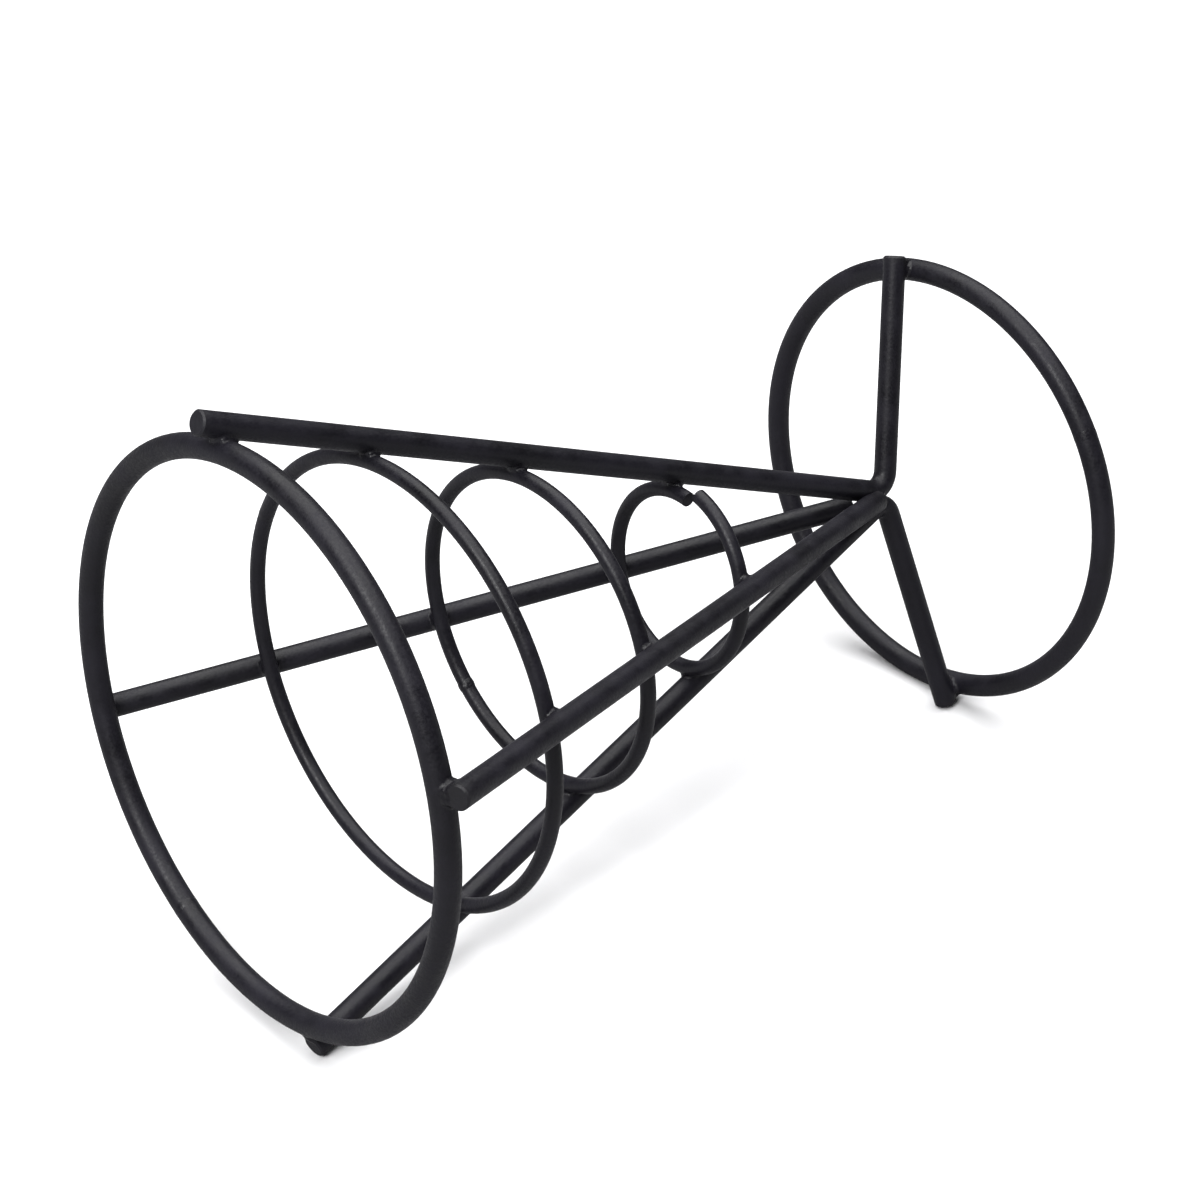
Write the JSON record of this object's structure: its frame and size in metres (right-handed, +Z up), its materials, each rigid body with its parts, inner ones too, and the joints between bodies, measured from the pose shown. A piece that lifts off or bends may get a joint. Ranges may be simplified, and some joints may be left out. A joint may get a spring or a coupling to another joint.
{
  "type": "wire cone stand",
  "caption": "Small tabletop cone stand of black coated steel wire: a rim ring, inner hoops and crossing rods, bent at the waist into legs on a base ring",
  "frame": {"origin": "Middle of the underside of the stand as it lies on its side on a table, at the bottom of its bounding box.", "axes": "+X runs along the stand from its open mouth to its base ring, +Z is up as it lies, and +Y is to the left when looking along +X. To stand it upright, turn it so that the axis of mount base_seat points down."},
  "size_m": [0.1952, 0.1228, 0.1282],
  "materials": {
    "coated_wire": "satin black powder coat",
    "coated_weld": "satin black powder coat over weld metal"
  },
  "bodies": {
    "root": {"base_ring": "coated_wire", "base_ring_seam": "coated_weld", "base_ring_welds": "coated_weld", "bent_rod_bottom": "coated_wire", "bent_rod_top": "coated_wire", "lower_hoop": "coated_wire", "lower_hoop_welds": "coated_weld", "middle_hoop": "coated_wire", "middle_hoop_seam": "coated_weld", "middle_hoop_welds": "coated_weld", "rim_ring": "coated_wire", "rim_ring_seam": "coated_weld", "rim_ring_welds": "coated_weld", "straight_rod_back": "coated_wire", "straight_rod_front": "coated_wire", "upper_hoop": "coated_wire", "upper_hoop_seam": "coated_weld", "upper_hoop_welds": "coated_weld", "waist_welds": "coated_weld"}
  },
  "joints": []
}
